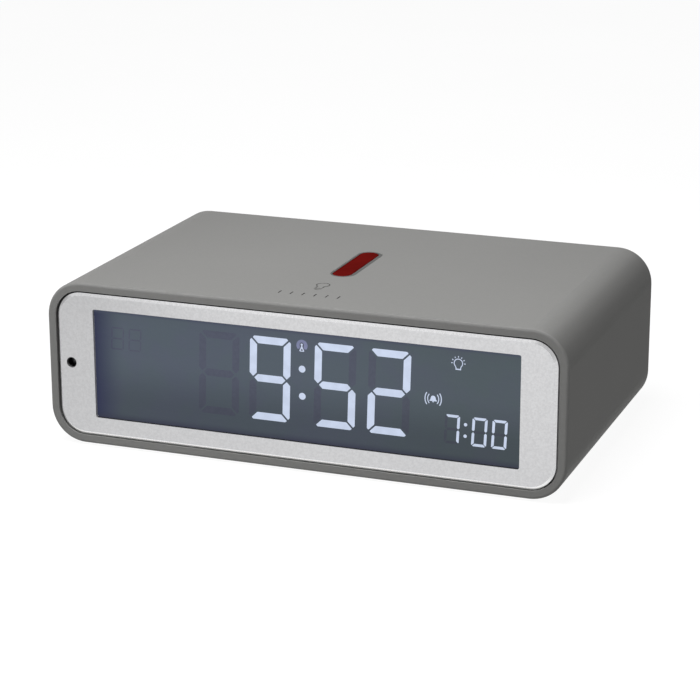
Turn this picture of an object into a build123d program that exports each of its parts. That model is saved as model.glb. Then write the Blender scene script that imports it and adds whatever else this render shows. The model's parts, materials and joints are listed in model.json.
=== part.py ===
from build123d import *
import math
import os

# Bedside digital alarm clock, radio controlled, with a backlit negative LCD.
# Units: millimetres.  +Z up, X to the right seen from the front, the display
# faces -Y.  Origin: centre of the footprint, on the plane the feet rest on.

# ---- housing and shared levels ----------------------------------------------
CASE_W = 150.0
CASE_H = 46.6           # without the feet
CASE_D = 90.0
FOOT_PROUD = 0.8        # feet below the underside
CASE_R = 10.15          # outer corner radius
WALL = 2.4

Z_BOTTOM = FOOT_PROUD
Z_TOP = Z_BOTTOM + CASE_H
Z_MID = Z_BOTTOM + CASE_H / 2
Z_CEILING = Z_TOP - WALL
Y_FRONT = -CASE_D / 2
Y_BACK = CASE_D / 2
INNER_W = CASE_W - 2 * WALL
INNER_H = CASE_H - 2 * WALL
INNER_R = CASE_R - WALL

OVER = 1.0              # how far a cutter runs past the face it cuts
GAP = 0.05              # between stacked parts
BOARD_T = 1.6           # every large circuit board

# Small screws, and the holes that take them
SCREW_HEAD_R = 1.9
SCREW_HEAD_H = 1.3
SCREW_SHANK_R = 0.93
PILOT_R = 0.95
CLEARANCE_R = 1.15

# Push switches
SWITCH_HALF = 3.0
SWITCH_CHAMFER = 0.4
SWITCH_WELL_R = 1.82
PLUNGER_R = 1.75
PLUNGER_FILLET = 0.2

SIDES = (-1, 1)
QUADRANTS = [(a, b) for a in SIDES for b in SIDES]


# ---- helpers ------------------------------------------------------------------
def around(centre, reach=0.01):
    """Span reaching equally far to both sides of a centre."""
    return (centre - reach, centre + reach)


def box(x, y, z):
    """Box from three spans; the ends of a span may come in either order."""
    size = [abs(span[1] - span[0]) for span in (x, y, z)]
    return Pos(*(sum(span) / 2 for span in (x, y, z))) * Box(*size)


def cyl_x(y, z, radius, x0, x1):
    return Pos((x0 + x1) / 2, y, z) * Rot(0, 90, 0) * Cylinder(radius, abs(x1 - x0))


def cyl_y(x, z, radius, y0, y1):
    return Pos(x, (y0 + y1) / 2, z) * Rot(90, 0, 0) * Cylinder(radius, y1 - y0)


def cyl_z(x, y, radius, z0, z1):
    return Pos(x, y, (z0 + z1) / 2) * Cylinder(radius, z1 - z0)


def plate(w, h, radius, y0, y1, x=0.0, z=Z_MID):
    """Rounded rectangle w (X) by h (Z), standing between y0 and y1."""
    plane = Plane(origin=(x, y0, z), x_dir=(1, 0, 0), z_dir=(0, 1, 0))
    return extrude(plane * RectangleRounded(w, h, radius), amount=y1 - y0)


def stadium(length, width, z0, z1, x, y):
    """Stadium, long along Y, between z0 and z1."""
    plane = Plane(origin=(x, y, z0), x_dir=(0, 1, 0), z_dir=(0, 0, 1))
    return extrude(plane * SlotOverall(length, width), amount=z1 - z0)


ANYWHERE = (-math.inf, math.inf)


def edges_in(shape, x=ANYWHERE, y=ANYWHERE, z=ANYWHERE):
    """Edges whose whole bounding box lies within the given spans."""
    def inside(edge):
        low, high = edge.bounding_box().min, edge.bounding_box().max
        return (x[0] <= low.X and high.X <= x[1]
                and y[0] <= low.Y and high.Y <= y[1]
                and z[0] <= low.Z and high.Z <= z[1])
    return [edge for edge in shape.edges() if inside(edge)]


def mirrored(x, dz):
    """The four (x, z) places mirrored about the middle of the case."""
    return [(sx * x, Z_MID + sz * dz) for sx, sz in QUADRANTS]


def pan_screw(x, z, seat_y, head_r, head_h, shank_r, length):
    """Cross-slotted screw along Y, its head on the +Y side of seat_y."""
    top = seat_y + head_h
    head = cyl_y(x, z, head_r, seat_y, top)
    head = fillet(edges_in(head, y=around(top)), head_h * 0.45)
    tip = seat_y - length
    shank = cyl_y(x, z, shank_r, tip, seat_y + 0.1)
    shank = chamfer(edges_in(shank, y=around(tip)), shank_r * 0.5)
    screw = head + shank
    slot_y = (top - head_h * 0.6, top + OVER)
    half_l, half_w = head_r * 0.55, head_r * 0.13
    screw -= box(around(x, half_l), slot_y, around(z, half_w))
    screw -= box(around(x, half_w), slot_y, around(z, half_l))
    return screw


def small_screw(length):
    """Cross-slotted screw along Z, seated at z = 0 with its head below."""
    screw = cyl_z(0, 0, SCREW_HEAD_R, -SCREW_HEAD_H, 0)
    screw = fillet(edges_in(screw, z=around(-SCREW_HEAD_H)), 0.5)
    screw += cyl_z(0, 0, SCREW_SHANK_R, -0.1, length)
    slot_z = (-2.0, -0.6)
    screw -= box(around(0, 1.05), around(0, 0.25), slot_z)
    screw -= box(around(0, 0.25), around(0, 1.05), slot_z)
    return screw


PARTS = {}              # node name -> function that builds it


def part(make):
    """Registers a builder, which returns one body or a list of bodies."""
    PARTS[make.__name__] = make
    return make


def solid(shape):
    found = shape.solids()
    assert len(found) == 1, len(found)
    return found[0]


def finish(shape):
    if isinstance(shape, list):
        return Compound(children=[solid(body) for body in shape])
    return solid(shape)


# ---- places shared by the housing and the parts it carries ----------------------
FOOT_X, FOOT_Y, FOOT_R = 56.0, 33.0, 5.0
FOOT_RECESS = 0.5       # depth of the recess each foot sits in

COVER_Y1 = Y_BACK - 1.0  # rear cover, behind the back rim
COVER_Y0 = COVER_Y1 - 2.0
COVER_SCREWS = mirrored(67.9, 16.35)

KEY_X, KEY_Y = -0.33, 0.4   # the key stands a little to the left in its slot
KEY_L, KEY_W = 27.2, 5.45
SLOT_X = -0.1           # slot through the top wall, round the key's collar
SLOT_L, SLOT_W = 28.8, 7.1
SNOOZE_BOARD_Z1 = Z_CEILING - 5.3
SNOOZE_POSTS_Y = [KEY_Y + s * 19.6 for s in SIDES]


# ---- housing --------------------------------------------------------------------
def top_marks():
    """Cutters for the lamp pictogram and the six bars in front of the key."""
    mark_z = (Z_TOP - 0.14, Z_TOP + OVER)
    through_z = around(Z_TOP, 2)
    half_line = 0.17
    lamp_x, lamp_y = -1.0, Y_FRONT + 21.4
    bulb = cyl_z(lamp_x, lamp_y, 1.98, *mark_z) - cyl_z(lamp_x, lamp_y, 1.64, *through_z)
    bulb -= box(around(lamp_x, 0.82), (lamp_y - 4, lamp_y - 1), through_z)
    marks = [bulb]
    for s in SIDES:
        marks.append(box(around(lamp_x + s * 0.95, half_line),
                         (lamp_y - 2.95, lamp_y - 1.6), mark_z))
    for dy, half_w in ((-3.5, 1.15), (-4.3, 1.15), (-5.1, 0.6)):
        marks.append(box(around(lamp_x, half_w), around(lamp_y + dy, half_line), mark_z))
    for i in range(6):
        marks.append(stadium(2.4, 0.4, *mark_z, x=-9.6 + i * 3.42, y=Y_FRONT + 11.0))
    return marks


@part
def housing():
    """One-piece sleeve, open at the front and at the back."""
    body = plate(CASE_W, CASE_H, CASE_R, Y_FRONT, Y_BACK)
    body = fillet(edges_in(body, y=around(Y_FRONT)), 0.8)
    body = fillet(edges_in(body, y=around(Y_BACK)), 0.5)
    body -= plate(INNER_W, INNER_H, INNER_R, Y_FRONT - OVER, Y_BACK + OVER)

    # slot for the key and its collar, chamfered round its upper edge
    body -= stadium(SLOT_L, SLOT_W, Z_CEILING - OVER, Z_TOP + OVER, SLOT_X, KEY_Y)
    rim = edges_in(body, x=around(0, 4), y=around(KEY_Y, 16), z=around(Z_TOP))
    body = chamfer(rim, 0.12)

    # corner bosses for the rear cover screws, trimmed to the wall
    for x, z in COVER_SCREWS:
        boss = cyl_y(x, z, 3.7, 24, COVER_Y0 - GAP)
        body += boss & plate(INNER_W + 1, INNER_H + 1, INNER_R + 0.5, 20, 44)
    for x, z in COVER_SCREWS:
        body -= cyl_y(x, z, 1.22, 30, 44)

    # stop ribs on the side walls, behind the front frame's flange
    for sx in SIDES:
        for sz in (1, -1):
            body += box((sx * 71.4, sx * (INNER_W / 2 + 0.5)),
                        (Y_FRONT + 2.9, Y_FRONT + 9.5), around(Z_MID + sz * 9, 3))

    # two posts under the top for the snooze board
    for y in SNOOZE_POSTS_Y:
        body += cyl_z(0, y, 2.6, SNOOZE_BOARD_Z1 + GAP, Z_CEILING + 0.5)
    for y in SNOOZE_POSTS_Y:
        body -= cyl_z(0, y, PILOT_R, SNOOZE_BOARD_Z1 - OVER, Z_CEILING + 0.2)

    for sx, sy in QUADRANTS:
        body -= cyl_z(sx * FOOT_X, sy * FOOT_Y, FOOT_R + 0.1,
                      Z_BOTTOM - OVER, Z_BOTTOM + FOOT_RECESS)
    for mark in top_marks():
        body -= mark
    return body


@part
def rubber_feet():
    feet = []
    for sx, sy in QUADRANTS:
        foot = cyl_z(sx * FOOT_X, sy * FOOT_Y, FOOT_R, 0.0, Z_BOTTOM + FOOT_RECESS)
        feet.append(chamfer(edges_in(foot, z=around(0)), 0.25))
    return feet


# ---- fascia, front frame and window lens ------------------------------------------
FASCIA_W, FASCIA_H, FASCIA_R = 144.1, 41.06, 7.3
FASCIA_X = -0.03
FASCIA_Z = Z_MID - 0.1  # the gap round it is a little wider at the top
FASCIA_Y0 = Y_FRONT + 0.1
FASCIA_Y1 = FASCIA_Y0 + 1.0
BEVEL_FACE = 0.8        # bevel measured on the fascia's face
BEVEL_SIDE = 0.35       # and down its side
WINDOW_W, WINDOW_H = 123.26, 31.4
WINDOW_X, WINDOW_Z = 0.5, Z_MID + 0.35
SENSOR_X = -68.15       # light sensor, left of the window
SENSOR_HOLE_R = 1.4

LENS_W, LENS_H, LENS_T = 125.0, 33.1, 0.4
LENS_CLEARANCE = 0.2
FLANGE_Y0 = FASCIA_Y1
FLANGE_Y1 = FLANGE_Y0 + 1.8
STACK_Y0 = FLANGE_Y0 + LENS_T + GAP     # front of the display stack
FRAME_Y1 = Y_FRONT + 13.3
BOARD_Y0 = Y_FRONT + 13.5               # main board
BOARD_Y1 = BOARD_Y0 + BOARD_T
BOARD_POSTS = mirrored(68.2, 9.5)


@part
def fascia():
    """Thin silver plate with a polished bevel round its outer edge."""
    body = plate(FASCIA_W, FASCIA_H, FASCIA_R, FASCIA_Y0, FASCIA_Y1, FASCIA_X, FASCIA_Z)
    face = body.faces().sort_by(Axis.Y)[0]
    body = chamfer(face.edges(), BEVEL_FACE, BEVEL_SIDE, reference=face)
    through = (FASCIA_Y0 - OVER, FASCIA_Y1 + OVER)
    body -= plate(WINDOW_W, WINDOW_H, 0.6, *through, WINDOW_X, WINDOW_Z)
    body -= cyl_y(SENSOR_X, Z_MID, SENSOR_HOLE_R, *through)
    return chamfer(edges_in(body, x=around(SENSOR_X, 2), y=around(FASCIA_Y0)), 0.12)


@part
def front_frame():
    """Dark moulding that carries fascia, lens, display stack and main board."""
    through = (FLANGE_Y0 - OVER, FLANGE_Y1 + OVER)
    body = plate(INNER_W - 0.3, INNER_H - 0.3, INNER_R - 0.15, FLANGE_Y0, FLANGE_Y1)
    body += plate(132.0, 40.6, 1.5, FLANGE_Y1 - 0.1, FRAME_Y1)
    body -= plate(LENS_W + 2 * LENS_CLEARANCE, LENS_H + 2 * LENS_CLEARANCE, 0.8,
                  *through, WINDOW_X, WINDOW_Z)
    body -= plate(129.0, 38.2, 0.8, STACK_Y0, FRAME_Y1 + OVER)  # display pocket
    for x, z in BOARD_POSTS:
        body += cyl_y(x, z, 2.5, FLANGE_Y1 - 0.1, BOARD_Y0 - GAP)
    for x, z in BOARD_POSTS:
        body -= cyl_y(x, z, PILOT_R, Y_FRONT + 6.0, Y_FRONT + 14.5)
    body -= cyl_y(SENSOR_X, Z_MID, 1.6, *through)
    return body


@part
def window_lens():
    return plate(LENS_W, LENS_H, 0.6, FLANGE_Y0, FLANGE_Y0 + LENS_T, WINDOW_X, WINDOW_Z)


# ---- display stack, front to back ---------------------------------------------------
POLARISER_T = 0.2
GLASS_T = 1.1           # each of the two glasses
GLASS_Y = STACK_Y0 + POLARISER_T + GAP
REAR_POLARISER_Y = GLASS_Y + 2 * GLASS_T + GAP
TRAY_Y = REAR_POLARISER_Y + POLARISER_T + GAP
SHEET_T = 0.3           # diffuser and reflector
GUIDE_T = 3.0
GUIDE_X = around(0, 62.5)
GUIDE_Z = (8.65, 40.4)
DIFFUSER_Y = TRAY_Y + GAP
GUIDE_Y = DIFFUSER_Y + SHEET_T + GAP
REFLECTOR_Y = GUIDE_Y + GUIDE_T + GAP


@part
def front_polariser():
    return box((-62.3, 63.1), (STACK_Y0, STACK_Y0 + POLARISER_T), (8.3, 40.7))


@part
def lcd_glass():
    """Two glasses; the front one reaches lower, to carry the connector."""
    x = around(0, 64.2)
    middle_y = GLASS_Y + GLASS_T
    return (box(x, (GLASS_Y, middle_y), (5.1, 42.6))
            + box(x, (middle_y, middle_y + GLASS_T), (8.0, 42.6)))


@part
def rear_polariser():
    return box(around(0, 62.6), (REAR_POLARISER_Y, REAR_POLARISER_Y + POLARISER_T), (8.2, 40.6))


@part
def backlight_tray():
    """Tray open towards the front."""
    return (box(around(0, 64.0), (TRAY_Y, TRAY_Y + 5.0), (7.75, 43.0))
            - box(around(0, 62.7), (TRAY_Y - OVER, TRAY_Y + 4.2), (8.55, 42.25)))


@part
def diffuser_sheet():
    return box(GUIDE_X, (DIFFUSER_Y, DIFFUSER_Y + SHEET_T), GUIDE_Z)


@part
def light_guide():
    guide = box(GUIDE_X, (GUIDE_Y, GUIDE_Y + GUIDE_T), GUIDE_Z)
    return chamfer(guide.edges().filter_by(Axis.Y), 0.4)


@part
def reflector_sheet():
    return box(GUIDE_X, (REFLECTOR_Y, REFLECTOR_Y + SHEET_T), GUIDE_Z)


@part
def backlight_board():
    return box(around(0, 60.0), (TRAY_Y + 0.6, TRAY_Y + 3.2), (41.35, 42.15))


@part
def backlight_leds():
    """Six in a row under the backlight board, shining down into the guide."""
    return [box(around(-52.5 + i * 21.0, 1.9), (TRAY_Y + 1.1, TRAY_Y + 2.7), (40.45, 41.3))
            for i in range(6)]


@part
def lcd_connector():
    return box(around(0, 58.0), (GLASS_Y + GLASS_T + GAP, BOARD_Y0 - GAP), (5.2, 7.5))


# ---- main board and its parts ---------------------------------------------------------
SENSOR_LEG_DX = 1.27


@part
def main_board():
    through = (BOARD_Y0 - OVER, BOARD_Y1 + OVER)
    board = plate(141.4, 38.0, 2.0, BOARD_Y0, BOARD_Y1)
    for sx, sz in QUADRANTS:
        board -= box((sx * 66.5, sx * 72.0), through,
                     (Z_MID + sz * 13.5, Z_MID + sz * 21))
    for x, z in BOARD_POSTS:
        board -= cyl_y(x, z, CLEARANCE_R, *through)
    for s in SIDES:
        board -= cyl_y(SENSOR_X + s * SENSOR_LEG_DX, Z_MID, 0.35, *through)
    return board


@part
def main_board_screws():
    return [pan_screw(x, z, BOARD_Y1, SCREW_HEAD_R, SCREW_HEAD_H, SCREW_SHANK_R, length=6.0)
            for x, z in BOARD_POSTS]


@part
def processor_chip():
    """Square package with eleven legs above and eleven below."""
    chip_x, chip_z = -10.0, Z_MID + 2.0
    chip = box(around(chip_x, 6), (BOARD_Y1, BOARD_Y1 + 1.6), around(chip_z, 6))
    for i in range(11):
        for s in (1, -1):
            chip += box(around(chip_x - 5.0 + i, 0.2), (BOARD_Y1, BOARD_Y1 + 0.5),
                        around(chip_z + s * 6.5, 0.6))
    return chip


@part
def quartz_crystal():
    can = cyl_x(BOARD_Y1 + 1.55, Z_MID + 12.5, 1.5, -14, -6)
    return fillet(can.edges(), 0.4)


@part
def capacitors():
    top = BOARD_Y1 + 8
    cans = [cyl_y(x, Z_MID + 9, 3.15, BOARD_Y1 + 0.02, top) for x in (22.0, 31.0)]
    return [fillet(edges_in(can, y=around(top)), 0.5) for can in cans]


@part
def light_sensor():
    """Domed body looking out of the fascia hole, its legs through the board."""
    dome_r, dome_y, base_y = 1.45, Y_FRONT + 3.2, Y_FRONT + 7.5
    sensor = cyl_y(SENSOR_X, Z_MID, dome_r, dome_y, base_y)
    sensor += cyl_y(SENSOR_X, Z_MID, 1.9, base_y - 1.0, base_y)
    sensor += Pos(SENSOR_X, dome_y, Z_MID) * Sphere(dome_r)
    for s in SIDES:
        sensor += box(around(SENSOR_X + s * SENSOR_LEG_DX, 0.22),
                      (base_y - 0.2, BOARD_Y1 + 0.8), around(Z_MID, 0.22))
    return sensor


# ---- radio receiver and its antenna -----------------------------------------------------
RADIO_BOARD_Y0 = BOARD_Y1 + 2.5
ROD_Y, ROD_Z = -6.0, Z_BOTTOM + WALL + 8.0
ROD_R = 4.0
ROD_BORE_R = 4.06       # in the coil and the cradles


@part
def radio_header():
    return box((36.0, 48.0), (BOARD_Y1, RADIO_BOARD_Y0), around(Z_MID - 8.0, 1.25))


@part
def radio_board():
    return box((32.0, 54.0), (RADIO_BOARD_Y0, RADIO_BOARD_Y0 + 1.2),
               (Z_MID - 14.0, Z_MID + 1.0))


@part
def ferrite_rod():
    return cyl_x(ROD_Y, ROD_Z, ROD_R, -58, 2)


@part
def antenna_coil():
    """Winding between two thin end flanges."""
    def ring(radius, x0, x1):
        return (cyl_x(ROD_Y, ROD_Z, radius, x0, x1)
                - cyl_x(ROD_Y, ROD_Z, ROD_BORE_R, x0 - OVER, x1 + OVER))
    return ring(5.6, -35, -21) + ring(6.4, -36, -35) + ring(6.4, -21, -20)


@part
def antenna_cradles():
    """Blocks on the floor, open at the top."""
    cradles = []
    for x in (-50.0, -8.0):
        cradle = box(around(x, 3), around(ROD_Y, 6.5), (Z_BOTTOM + WALL, ROD_Z + 2.2))
        cradle -= cyl_x(ROD_Y, ROD_Z, ROD_BORE_R, x - 5, x + 5)
        cradle -= box(around(x, 5), around(ROD_Y, 3.4), (ROD_Z, ROD_Z + 5))
        cradles.append(cradle)
    return cradles


# ---- snooze and light key in the top ------------------------------------------------------
KEY_TOP = Z_TOP + 0.06
COLLAR_TOP = Z_TOP - 0.04
COLLAR_GAP = 0.12       # key to the collar round it
SHROUD_ROOF = 0.9       # roof of the light shroud, under the top wall
KEY_FLANGE_Z1 = Z_CEILING - SHROUD_ROOF - 0.2
KEY_FLANGE_Z0 = KEY_FLANGE_Z1 - 1.1
SNOOZE_PLUNGER_TOP = SNOOZE_BOARD_Z1 + 2.15
SNOOZE_BOARD_Z0 = SNOOZE_BOARD_Z1 - BOARD_T


@part
def snooze_key():
    key = stadium(KEY_L, KEY_W, KEY_FLANGE_Z0, KEY_TOP, KEY_X, KEY_Y)
    key = fillet(edges_in(key, z=around(KEY_TOP)), 0.3)
    key += stadium(KEY_L + 2.6, KEY_W + 2.4, KEY_FLANGE_Z0, KEY_FLANGE_Z1, KEY_X, KEY_Y)
    key += cyl_z(0, KEY_Y, 1.6, SNOOZE_PLUNGER_TOP + GAP, KEY_FLANGE_Z0 + 0.1)
    return key


@part
def snooze_plunger():
    plunger = cyl_z(0, KEY_Y, PLUNGER_R, SNOOZE_BOARD_Z1 + 0.95, SNOOZE_PLUNGER_TOP)
    return fillet(edges_in(plunger, z=around(SNOOZE_PLUNGER_TOP)), PLUNGER_FILLET)


@part
def snooze_switch():
    switch = box(around(0, SWITCH_HALF), around(KEY_Y, SWITCH_HALF),
                 (SNOOZE_BOARD_Z1, SNOOZE_BOARD_Z1 + 1.75))
    switch = chamfer(switch.edges().filter_by(Axis.Z), SWITCH_CHAMFER)
    return switch - cyl_z(0, KEY_Y, SWITCH_WELL_R, SNOOZE_BOARD_Z1 + 0.2, SNOOZE_BOARD_Z1 + 3)


@part
def snooze_leds():
    return [box(around(0, 1.4), around(KEY_Y + s * 9, 1.75),
                (SNOOZE_BOARD_Z1, SNOOZE_BOARD_Z1 + 1.5)) for s in SIDES]


@part
def light_shroud():
    """Open-bottomed box round the LEDs, with a collar up through the slot."""
    roof_z = Z_CEILING - SHROUD_ROOF
    shroud = box(around(0, 5.9), around(KEY_Y, 16.6), (SNOOZE_BOARD_Z1, Z_CEILING))
    shroud -= box(around(0, 4.45), around(KEY_Y, 15.35), (SNOOZE_BOARD_Z1 - OVER, roof_z))
    shroud += stadium(SLOT_L - 0.1, SLOT_W - 0.1, Z_CEILING - 0.1, COLLAR_TOP, SLOT_X, KEY_Y)
    shroud -= stadium(KEY_L + 2 * COLLAR_GAP, KEY_W + 2 * COLLAR_GAP,
                      roof_z - OVER, Z_TOP + OVER, KEY_X, KEY_Y)
    return shroud


@part
def snooze_board():
    board = box(around(0, 7.5), around(KEY_Y, 23), (SNOOZE_BOARD_Z0, SNOOZE_BOARD_Z1))
    for y in SNOOZE_POSTS_Y:
        board -= cyl_z(0, y, CLEARANCE_R, SNOOZE_BOARD_Z0 - OVER, SNOOZE_BOARD_Z1 + OVER)
    return board


@part
def snooze_board_screws():
    return [Pos(0, y, SNOOZE_BOARD_Z0) * small_screw(5.5) for y in SNOOZE_POSTS_Y]


# ---- rear cover and battery door ------------------------------------------------------------
BAY_X = -32.75          # battery bay, centred on Z_MID
BAY_HALF_X, BAY_HALF_Z = 27.75, 14.9
BAY_X0, BAY_X1 = around(BAY_X, BAY_HALF_X)
BAY_Y0 = 26.0
BAY_WALL = 2.2
DOOR_HALF_X, DOOR_HALF_Z = BAY_HALF_X + 1.2, BAY_HALF_Z + 1.1
DOOR_GAP = 0.2
TABS_X = (-46.5, -19.0)
TAB_HALF = 3.5

BUTTONS = {             # name: x
    "time_set": 10.0, "alarm_set": 20.5, "up": 31.0, "down": 41.5, "radio_search": 52.0,
}
BUTTON_Z = Z_MID + 7.0
BUTTON_R, BUTTON_HOLE_R = 3.15, 3.25
SLIDER_X, SLIDER_Z = 12.0, Z_MID - 8.0
SLIDER_TRAVEL = 4.0
BUZZER_X, BUZZER_Z = 33.5, Z_MID - 7.0
SOCKET_X, SOCKET_Z = 58.0, Z_MID - 8.0
COUNTERBORE = 1.2       # depth for the rear cover screws

REAR_BOARD_Y1 = 34.6    # button board
REAR_BOARD_Y0 = REAR_BOARD_Y1 - BOARD_T
REAR_POSTS = [          # x, z
    (15.25, Z_MID + 13.5), (46.75, Z_MID + 13.5), (21.5, Z_MID - 14.5), (48.0, Z_MID - 14.5),
]
SOUND_RINGS = [         # radius, first angle, angle step
    (0.0, 0, 360), (3.2, 0, 60), (6.2, 15, 30),
]


@part
def rear_cover():
    through = (COVER_Y0 - OVER, COVER_Y1 + OVER)
    cover = plate(INNER_W - 0.3, INNER_H - 0.3, INNER_R - 0.15, COVER_Y0, COVER_Y1)
    cover = fillet(edges_in(cover, y=around(COVER_Y1)), 0.3)

    # battery bay, with a rebate for the door
    cover += box(around(BAY_X, BAY_HALF_X + BAY_WALL), (BAY_Y0 - 1.5, COVER_Y0 + 0.1),
                 around(Z_MID, BAY_HALF_Z + BAY_WALL))
    cover -= box(around(BAY_X, DOOR_HALF_X + DOOR_GAP), (COVER_Y0 + 0.1, COVER_Y1 + OVER),
                 around(Z_MID, DOOR_HALF_Z + DOOR_GAP))
    cover -= box((BAY_X0, BAY_X1), (BAY_Y0, COVER_Y1 + OVER), around(Z_MID, BAY_HALF_Z))
    # low rib between the two cells
    cover += box(around(BAY_X, BAY_HALF_X - 12), (BAY_Y0 - 0.1, BAY_Y0 + 2.6),
                 around(Z_MID, 0.25))
    for x in TABS_X:
        cover -= box(around(x, TAB_HALF + 0.4), (COVER_Y0 - 0.5, COVER_Y0 + 1.45),
                     (Z_MID - DOOR_HALF_Z - 1.9, Z_MID - BAY_HALF_Z + 0.1))
    # finger recess above the door
    cover -= Pos(BAY_X, COVER_Y1 + 1.2, Z_MID + DOOR_HALF_Z + 1.2) * Sphere(2.6)

    for x in BUTTONS.values():
        cover -= cyl_y(x, BUTTON_Z, BUTTON_HOLE_R, *through)
        rim = edges_in(cover, x=around(x, 4), y=around(COVER_Y1), z=around(BUTTON_Z, 4))
        cover = chamfer(rim, 0.25)

    # alarm slider slot, in a shallow recess
    cover -= box(around(SLIDER_X, 6.0), (COVER_Y1 - 0.6, COVER_Y1 + OVER),
                 around(SLIDER_Z, 2.8))
    cover -= box(around(SLIDER_X, 4.0), through, around(SLIDER_Z, 1.7))

    for radius, first, step in SOUND_RINGS:
        for degrees in range(first, 360, step):
            angle = math.radians(degrees)
            cover -= cyl_y(BUZZER_X + radius * math.cos(angle),
                           BUZZER_Z + radius * math.sin(angle), 0.7, *through)
    cover -= cyl_y(SOCKET_X, SOCKET_Z, 3.3, *through)

    # posts for the button board
    for x, z in REAR_POSTS:
        cover += cyl_y(x, z, 2.1, REAR_BOARD_Y1, COVER_Y0 + 0.1)
    for x, z in REAR_POSTS:
        cover -= cyl_y(x, z, PILOT_R, REAR_BOARD_Y1 - OVER, COVER_Y0 - 0.2)
    for x, z in COVER_SCREWS:
        cover -= cyl_y(x, z, 1.4, *through)
        cover -= cyl_y(x, z, 2.7, COVER_Y1 - COUNTERBORE, COVER_Y1 + OVER)
    return cover


@part
def rear_cover_screws():
    return [pan_screw(x, z, COVER_Y1 - COUNTERBORE, head_r=2.5, head_h=1.1, shank_r=1.2,
                      length=9.0) for x, z in COVER_SCREWS]


@part
def battery_door():
    """Plate with two lower tabs, a latch finger at the top and five grooves."""
    inner_y = COVER_Y0 + 0.3
    door = box(around(BAY_X, DOOR_HALF_X), (inner_y, COVER_Y1), around(Z_MID, DOOR_HALF_Z))
    door = chamfer(edges_in(door, y=around(COVER_Y1)), 0.2)
    for x in TABS_X:
        door += box(around(x, TAB_HALF), (inner_y, COVER_Y0 + 1.1),
                    (Z_MID - DOOR_HALF_Z - 1.4, Z_MID - DOOR_HALF_Z + 0.5))
    door += box(around(BAY_X, 4.25), (38.6, inner_y + 0.1), (Z_MID + 13.2, Z_MID + 14.4))
    for i in range(5):
        door -= box(around(BAY_X, 6.0), (COVER_Y1 - 0.35, COVER_Y1 + OVER),
                    around(Z_MID + 8.2 - i * 1.5, 0.35))
    return door


# ---- batteries and contacts -------------------------------------------------------------------
CELL_R, CELL_L = 7.1, 49.3      # LR6
NUB_R, NUB_L = 2.65, 1.2
CELL_Y = 34.0
CELL_DZ = 7.4           # each cell from the middle
CONTACT_T = 0.4
CONTACT_OFFSET = CONTACT_T + GAP    # bay end to cell or spring
SPRING_L = 4.0


def cell(z, nub_x, inward):
    """Cell whose nub ends at nub_x; inward is the X direction to its body."""
    body_x = nub_x + inward * NUB_L
    body = (cyl_x(CELL_Y, z, NUB_R, nub_x, body_x + inward * 0.2)
            + cyl_x(CELL_Y, z, CELL_R, body_x, body_x + inward * CELL_L))
    rims = [edge for edge in body.edges()
            if edge.geom_type == GeomType.CIRCLE and edge.radius > 7]
    return fillet(rims, 0.4)


@part
def battery_upper():
    return cell(Z_MID + CELL_DZ, BAY_X0 + CONTACT_OFFSET, 1)


@part
def battery_lower():
    return cell(Z_MID - CELL_DZ, BAY_X1 - CONTACT_OFFSET, -1)


@part
def contact_plates():
    """One linking plate at the left end, two separate ones at the right."""
    y = around(CELL_Y, 4.5)
    left_x = (BAY_X0, BAY_X0 + CONTACT_T)
    right_x = (BAY_X1 - CONTACT_T, BAY_X1)
    return [box(left_x, y, around(Z_MID, 12.5)),
            box(right_x, y, (Z_MID + 2.0, Z_MID + 12.5)),
            box(right_x, y, (Z_MID - 12.5, Z_MID - 2.0))]


def coil_spring(x, z):
    """Coil spring along X, starting at x."""
    radius, wire, turns = 3.0, 0.6, 2.5
    length = SPRING_L - wire
    helix = Helix(pitch=length / turns, height=length, radius=radius)
    profile = Plane(origin=helix @ 0, z_dir=helix % 0) * Circle(wire / 2)
    spring = sweep(profile, path=helix, is_frenet=True)
    return Pos(x + wire / 2, CELL_Y, z) * Rot(0, 90, 0) * spring


@part
def contact_springs():
    return [coil_spring(BAY_X1 - CONTACT_OFFSET - SPRING_L, Z_MID + CELL_DZ),
            coil_spring(BAY_X0 + CONTACT_OFFSET, Z_MID - CELL_DZ)]


# ---- buttons, their switches and the board behind the rear cover --------------------------------
REAR_PLUNGER_TOP = REAR_BOARD_Y1 + 4.55


def button(x):
    face = COVER_Y1 + 0.8
    body = cyl_y(x, BUTTON_Z, BUTTON_R, COVER_Y0 - 1.2, face)
    body = fillet(edges_in(body, y=around(face)), 0.5)
    body += cyl_y(x, BUTTON_Z, 4.2, COVER_Y0 - 1.3, COVER_Y0 - 0.2)
    body += cyl_y(x, BUTTON_Z, 1.9, REAR_PLUNGER_TOP + GAP, COVER_Y0 - 1.2)
    return body


def plunger(x):
    body = cyl_y(x, BUTTON_Z, PLUNGER_R, REAR_BOARD_Y1 + 2.3, REAR_PLUNGER_TOP)
    return fillet(edges_in(body, y=around(REAR_PLUNGER_TOP)), PLUNGER_FILLET)


for name, x in BUTTONS.items():
    PARTS[f"{name}_button"] = lambda x=x: button(x)
    PARTS[f"{name}_plunger"] = lambda x=x: plunger(x)


@part
def button_switches():
    switches = []
    for x in BUTTONS.values():
        switch = box(around(x, SWITCH_HALF), (REAR_BOARD_Y1, REAR_BOARD_Y1 + 3.5),
                     around(BUTTON_Z, SWITCH_HALF))
        switch = chamfer(switch.edges().filter_by(Axis.Y), SWITCH_CHAMFER)
        switch -= cyl_y(x, BUTTON_Z, SWITCH_WELL_R, REAR_BOARD_Y1 + 1.6, REAR_BOARD_Y1 + 4.4)
        switches.append(switch)
    return switches


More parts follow.
